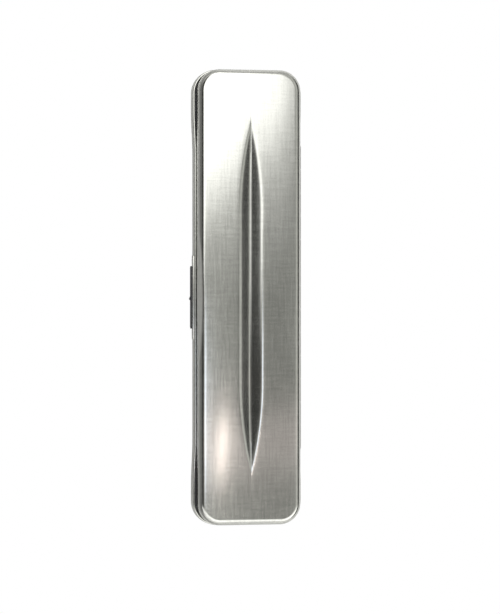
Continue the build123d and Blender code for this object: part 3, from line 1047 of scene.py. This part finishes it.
def collar_ring():
    """A flat ring from inside the tray's wall out to the shell."""
    bm = bmesh.new()
    line_i = bm.verts.layers.int.new("line_i")
    line_j = bm.verts.layers.int.new("line_j")
    bmesh.ops.create_grid(bm, x_segments=TRAY_LINES[0], y_segments=TRAY_LINES[1], size=1.0)
    bmesh.ops.delete(bm, geom=[v for v in bm.verts if not v.is_boundary], context="VERTS")
    bmesh.ops.delete(bm, geom=bm.faces[:], context="FACES_ONLY")
    for v in bm.verts:
        v[line_i] = round((v.co.x + 1) / 2 * TRAY_LINES[0])
        v[line_j] = round((v.co.y + 1) / 2 * TRAY_LINES[1])
    within = INLAY / 2
    corners = [
        (tray_plan, within, COLLAR_TOP), (collar_plan, COLLAR_ROUND, COLLAR_TOP),
        (collar_plan, 0.0, COLLAR_TOP - COLLAR_ROUND), (collar_plan, 0.0, COLLAR_TOP - COLLAR),
        (tray_plan, within, COLLAR_TOP - COLLAR), (tray_plan, within, COLLAR_TOP),
    ]
    edges = bm.edges[:]
    fresh = bm.verts[:]
    for index, (plan, inset, level) in enumerate(corners):
        if index:
            made = bmesh.ops.extrude_edge_only(bm, edges=edges)["geom"]
            fresh = [v for v in made if isinstance(v, bmesh.types.BMVert)]
            edges = [
                e for e in made
                if isinstance(e, bmesh.types.BMEdge) and all(v in fresh for v in e.verts)
            ]
        for v in fresh:
            x, y = plan.rim(v[line_i], v[line_j], inset)
            v.co = (x, y, level)
    bmesh.ops.remove_doubles(bm, verts=bm.verts, dist=1e-5)
    bmesh.ops.recalc_face_normals(bm, faces=bm.faces)
    return bm


cut(tray, "UNION", collar_ring())
pocket = bmesh.new()
block(
    pocket, (-POCKET_X - INLAY, -HALF_WIDTH + TRAY_INSET + INLAY / 2, inlay_low.z + 0.1),
    (POCKET_X + INLAY, POCKET_Y + INLAY, inlay_high.z - 0.02), 0.3,
)
cut(tray, "UNION", pocket)
pocket = bmesh.new()
block(pocket, (-POCKET_X, -HALF_WIDTH - 3.0, -1.0), (POCKET_X, POCKET_Y, inlay_high.z + 1.0))
cut(tray, "DIFFERENCE", pocket)
notch = bmesh.new()
block(notch, (-NOTCH, HALF_WIDTH - TRAY_INSET, 0.0), (NOTCH, HALF_WIDTH + 3.0, inlay_high.z - 0.3))
cut(tray, "DIFFERENCE", notch)
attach(tray, "base")
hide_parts("base_inlay")

COVER_INSET = 1.6
COVER_BEND = 3.0
COVER_WALL_TOP = LID_TOP - 3.8


def cover_steps(surface, wall, count):
    """Steps of one face of the lid's inlay: part of the rounding, where the wall cuts it off."""
    bend = COVER_BEND - surface
    last = math.degrees(math.acos(1 - (wall - surface) / bend))
    return [
        lid_round(surface, a, bend, COVER_WALL_TOP) for a in reversed(arc_steps(count, last, 90.0))
    ]


COVER_LIP = 0.3
outer, inner = SHEET + GLUE, SHEET + GLUE + INLAY
cover_profile = cover_steps(outer, COVER_INSET, 6)[1:]
for a in arc_steps(4):
    cover_profile.append(
        ring(
            COVER_INSET + COVER_LIP * (1 - math.cos(a)),
            cover_low.z + COVER_LIP * (1 - math.sin(a)),
        )
    )
for a in arc_steps(4)[1:]:
    cover_profile.append(
        ring(
            COVER_INSET + INLAY - COVER_LIP * (1 - math.sin(a)),
            cover_low.z + COVER_LIP * (1 - math.cos(a)),
        )
    )
cover_profile += cover_steps(inner, COVER_INSET + INLAY, 5)[::-1]
cover = finished(
    "lid_cover_inlay",
    pressed_sheet(
        Plan(HALF_LENGTH, HALF_WIDTH, CORNER, 130, 44),
        COVER_BEND, gathered(lid_surface(outer)), cover_profile,
        COVER_BEND, gathered(lid_surface(inner)),
    ),
    inlay_flock,
)
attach(cover, "lid")
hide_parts("lid_inlay")

# ---------------------------------------------------------------------------------------------
# Floor, light and camera. A table that is even white to the camera, and matt to everything else,
# with painted shade that makes it darker towards the front. A large card overhead, which the camera
# doesn't see, gives the light in soft patches that the satin metal mirrors, and the room adds a
# glow from its front and ends.
def bare_material(name):
    """A material for the stage, with nothing in its tree yet."""
    material = bpy.data.materials.new(name)
    material.use_nodes = True
    material.node_tree.nodes.clear()
    return material


def stage_node(kind, inputs=None, **settings):
    """Adds a node to the tree in hand, and gives its first output."""
    return node_maker(tree)(kind, inputs, **settings).outputs[0]


def axes(coordinates):
    """X, Y and Z of one kind of coordinates, in the tree in hand."""
    where = node_maker(tree)("ShaderNodeTexCoord").outputs[coordinates]
    return node_maker(tree)("ShaderNodeSeparateXYZ", {0: where}).outputs


def camera_ray():
    return node_maker(tree)("ShaderNodeLightPath").outputs["Is Camera Ray"]


paper = bare_material("white_table")
tree = paper.node_tree
# Painted shade: to everything but the camera, the table's colour is darker in front of the case
# (0.3) than behind it (0.8).
shade = stage_node(
    "ShaderNodeMapRange",
    {
        "Value": axes("Object")["Y"], "From Min": -0.05, "From Max": 0.0,
        "To Min": 0.3, "To Max": 0.8,
    },
)
matte_with_painted_shade = stage_node("ShaderNodeBsdfDiffuse", {"Color": shade})
even_white = stage_node("ShaderNodeEmission", {"Color": (1, 1, 1, 1), "Strength": 1.0})
surface = stage_node("ShaderNodeMixShader", {"Fac": camera_ray(), 1: matte_with_painted_shade, 2: even_white})
node_maker(tree)("ShaderNodeOutputMaterial", {"Surface": surface})
TABLE_HALF = 1500.0
TABLE_DROP = 0.05
bm = bmesh.new()
bmesh.ops.create_grid(bm, x_segments=1, y_segments=1, size=TABLE_HALF)
bmesh.ops.translate(bm, vec=(0, 0, -TABLE_DROP), verts=bm.verts)
table = finished("white_table", bm, paper)


def fade(value, start, end, low=0.0, high=1.0):
    """Smooth change from low to high as a value goes from start to end."""
    return stage_node(
        "ShaderNodeMapRange",
        {"Value": value, "From Min": start, "From Max": end, "To Min": low, "To Max": high},
        interpolation_type="SMOOTHSTEP",
    )


def times(*values):
    made = values[0]
    for value in values[1:]:
        made = stage_node("ShaderNodeMath", {0: made, 1: value}, operation="MULTIPLY")
    return made


def plus(*values):
    made = values[0]
    for value in values[1:]:
        made = stage_node("ShaderNodeMath", {0: made, 1: value}, operation="ADD")
    return made


def tinted(value, colour):
    return stage_node("ShaderNodeVectorMath", {0: colour, "Scale": value}, operation="SCALE")


CARD_HEIGHT = 0.25
CARD_HALF = 500.0
overhead = bare_material("overhead_card")
tree = overhead.node_tree
card_axes = axes("Object")
card_x, card_y = card_axes["X"], card_axes["Y"]
front_open = fade(card_y, -0.235, -0.165)
near_front = fade(card_y, 0.08, -0.02)
# Light over the whole card, weakest in front of the case and strongest behind it.
ambient = times(
    fade(card_y, -0.22, -0.1, 0.08, 1.0),
    plus(times(near_front, 0.17), fade(card_y, 0.1, 0.2, 0.29, 0.62)),
)
# The bright patch over one end of the case, cut off along a slant.
window = times(
    times(front_open, fade(card_y, 0.14, 0.085)),
    plus(
        fade(card_x, 0.0, -0.075, 0.0, 0.5),
        fade(plus(card_x, times(card_y, 0.3)), -0.03, -0.07, 0.0, 1.15),
    ),
)
# A faint warm band across the other end, and a short bright warm streak in it.
rose = times(
    fade(card_x, 0.04, 0.062), fade(card_x, 0.083, 0.07), plus(times(near_front, 0.26), 0.3),
    front_open,
)
slant = plus(card_y, times(card_x, 0.3), -0.0173)
streak = times(
    fade(card_x, 0.05, 0.056), fade(card_x, 0.081, 0.074), fade(slant, 0.001, 0.005),
    fade(slant, 0.014, 0.009), 3.6,
)
# A cool strip in front of the case, and plain light beyond its far end.
strip = times(
    fade(card_x, -0.01, 0.03), fade(card_x, 0.09, 0.075), fade(card_y, -0.13, -0.09),
    fade(card_y, -0.014, -0.035), 1.3,
)
beyond_end = fade(card_x, 0.11, 0.2, 0.0, 1.3)
glow = tinted(ambient, (1.0, 1.01, 0.94))
for light, colour in (
    (window, (1.0, 1.0, 0.97)),
    (rose, (1.0, 0.84, 0.82)),
    (streak, (1.0, 0.87, 0.8)),
    (strip, (0.8, 0.87, 1.0)),
    (beyond_end, (1.0, 1.0, 0.97)),
):
    glow = stage_node("ShaderNodeVectorMath", {0: glow, 1: tinted(light, colour)})
emission = stage_node("ShaderNodeEmission", {"Color": glow})
node_maker(tree)("ShaderNodeOutputMaterial", {"Surface": emission})
bm = bmesh.new()
bmesh.ops.create_grid(bm, x_segments=1, y_segments=1, size=CARD_HALF)
bmesh.ops.translate(bm, vec=(0, 0, CARD_HEIGHT / MM), verts=bm.verts)
card = finished("overhead_card", bm, overhead)
card.visible_camera = False
card.visible_shadow = False

world = bpy.data.worlds.new("studio")
bpy.context.scene.world = world
world.use_nodes = True
tree = world.node_tree
background = tree.nodes["Background"]
room_axes = axes("Generated")
room = plus(
    fade(room_axes["Y"], -0.3, 0.3, 0.2, 0.06),
    fade(room_axes["X"], -0.3, -0.8, 0.0, 0.5),
    fade(room_axes["X"], 0.35, 0.85, 0.0, 0.9),
)
backdrop = tree.nodes.new("ShaderNodeMix")
backdrop.data_type = "RGBA"
tree.links.new(camera_ray(), backdrop.inputs["Factor"])
tree.links.new(tinted(room, (1.0, 1.0, 0.96)), backdrop.inputs[6])
backdrop.inputs[7].default_value = (0.93, 0.93, 0.93, 1.0)
tree.links.new(backdrop.outputs[2], background.inputs["Color"])
background.inputs["Strength"].default_value = 1.0
bpy.context.scene.view_settings.view_transform = "Standard"

TILT = math.radians(11.4)
DISTANCE = 0.9
FRAME_ROWS = 614
ROWS_PER_MM = 2.83
SPAN = FRAME_ROWS / ROWS_PER_MM * MM
SENSOR = 24.0
camera = bpy.data.cameras.new("camera")
camera.sensor_fit = "VERTICAL"
camera.sensor_height = SENSOR
camera.lens = SENSOR * DISTANCE / SPAN
viewer = bpy.data.objects.new("camera", camera)
bpy.context.scene.collection.objects.link(viewer)
target = Vector((0.0034, 0.0010, 0.0097))
toward = Vector((0.0, -math.sin(TILT), math.cos(TILT)))
right = Vector((0.0, math.cos(TILT), math.sin(TILT)))
down = Vector((1.0, 0.0, 0.0))
viewer.matrix_world = Matrix(
    (
        (right.x, -down.x, toward.x, 0.0),
        (right.y, -down.y, toward.y, 0.0),
        (right.z, -down.z, toward.z, 0.0),
        (0.0, 0.0, 0.0, 1.0),
    )
)
viewer.matrix_world.translation = target + toward * DISTANCE
bpy.context.scene.camera = viewer
